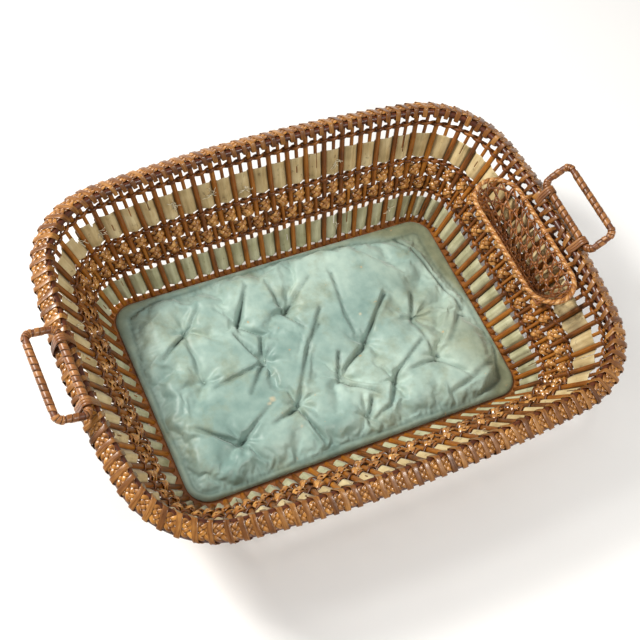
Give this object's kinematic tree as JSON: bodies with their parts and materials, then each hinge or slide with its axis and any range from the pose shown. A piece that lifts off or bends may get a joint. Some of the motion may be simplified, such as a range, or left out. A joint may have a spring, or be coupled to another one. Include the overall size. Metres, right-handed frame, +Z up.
{
  "type": "wicker bed basket",
  "caption": "Flared oblong wicker bed basket for a small pet: woven walls with silk ribbons, a lashed rim, hinged loop handles, a side pocket and a loose tufted pad",
  "frame": {"origin": "middle of the flat underside, on the centre lath", "axes": "+Z up, +X along the basket to the end with the pocket, +Y across it"},
  "size_m": [0.6495, 0.4518, 0.179],
  "materials": {
    "reed": "smooth varnished round reed, saddle brown",
    "lath": "plain sawn lath",
    "lower_silk": "faded sage green silk ribbon, frayed",
    "upper_silk": "faded khaki silk ribbon, frayed",
    "dark_cane": "dark stained reed",
    "plaited_cane": "plaited split cane, varnished",
    "pale_cane": "glossy split cane strap",
    "wrap_cane": "cane wrapping, varnished",
    "pocket_cane": "fine open cane work",
    "sateen": "faded blue-green sateen with tan stains",
    "wadding": "cotton wadding",
    "tuft_thread": "thread knots"
  },
  "bodies": {
    "basket": {"base_hoop": "reed", "base_laths": "lath", "floor_spokes": "reed", "floor_reeds": "reed", "thick_uprights": "reed", "thin_uprights": "reed", "lower_ribbon": "lower_silk", "lower_twine": "dark_cane", "lower_plait": "plaited_cane", "upper_plait": "plaited_cane", "middle_twine": "dark_cane", "upper_ribbon": "upper_silk", "top_twine": "dark_cane", "rim_rod_inner": "dark_cane", "rim_rod_outer": "dark_cane", "rim_plait": "plaited_cane", "rim_strap": "pale_cane", "left_handle_ties": "wrap_cane", "right_handle_ties": "wrap_cane", "pocket_rope": "pale_cane", "pocket_wall": "pocket_cane", "pocket_floor": "pocket_cane", "pocket_ties": "pale_cane"},
    "left_handle": {"left_core": "reed", "left_grip_wrap": "wrap_cane", "left_bar_wrap": "wrap_cane", "left_arm_wraps": "wrap_cane", "left_corner_bindings": "wrap_cane"},
    "right_handle": {"right_core": "reed", "right_grip_wrap": "wrap_cane", "right_bar_wrap": "wrap_cane", "right_arm_wraps": "wrap_cane", "right_corner_bindings": "wrap_cane"},
    "pad": {"pad_cover": "sateen", "pad_backing": "sateen", "pad_filling": "wadding", "pad_border": "sateen", "pad_tufts": "tuft_thread"}
  },
  "joints": [
    {"name": "left_handle_hinge", "type": "hinge", "parent": "basket", "child": "left_handle", "pos_m": [-0.2905, 0, 0.15], "axis": [0, 1, 0], "range_deg": [-40, 110]},
    {"name": "right_handle_hinge", "type": "hinge", "parent": "basket", "child": "right_handle", "pos_m": [0.2905, 0, 0.15], "axis": [0, -1, 0], "range_deg": [-70, 80]},
    {"name": "pad_lift", "type": "slide", "parent": "basket", "child": "pad", "axis": [0, 0, 1], "range_m": [0, 0.2]}
  ]
}
